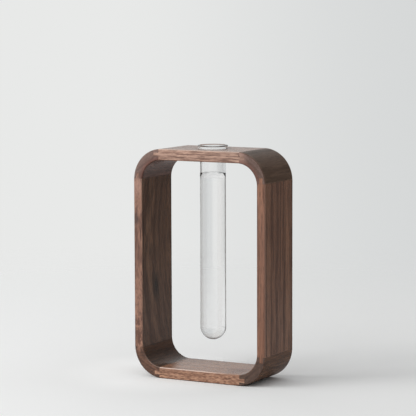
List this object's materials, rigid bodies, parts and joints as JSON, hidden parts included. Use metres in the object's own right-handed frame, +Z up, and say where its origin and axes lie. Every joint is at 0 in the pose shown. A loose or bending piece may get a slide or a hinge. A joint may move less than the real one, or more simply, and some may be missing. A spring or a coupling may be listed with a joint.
{
  "type": "test tube vase",
  "caption": "Rounded walnut frame with tongue-and-groove corner blocks, carrying a lift-out glass test tube by its flared lip as a vase for cut stems.",
  "frame": {"origin": "on the floor, at the middle of the bottom rail's underside", "axes": "+X along the frame's width to the right, +Y to the back along its depth, +Z up along the tube"},
  "size_m": [0.143, 0.058, 0.2265],
  "materials": {
    "walnut_level_rail": "satin oil",
    "walnut_upright_rail": "satin oil",
    "walnut_corner_block": "satin oil",
    "clear_glass": "polished"
  },
  "bodies": {
    "frame": {"top_rail": "walnut_level_rail", "bottom_rail": "walnut_level_rail", "left_rail": "walnut_upright_rail", "right_rail": "walnut_upright_rail", "corner_top_left": "walnut_corner_block", "corner_top_right": "walnut_corner_block", "corner_bottom_left": "walnut_corner_block", "corner_bottom_right": "walnut_corner_block"},
    "tube": {"test_tube": "clear_glass"}
  },
  "joints": [
    {"name": "tube_lift", "type": "slide", "parent": "frame", "child": "tube", "axis": [0, 0, 1], "range_m": [0, 0.19]}
  ]
}
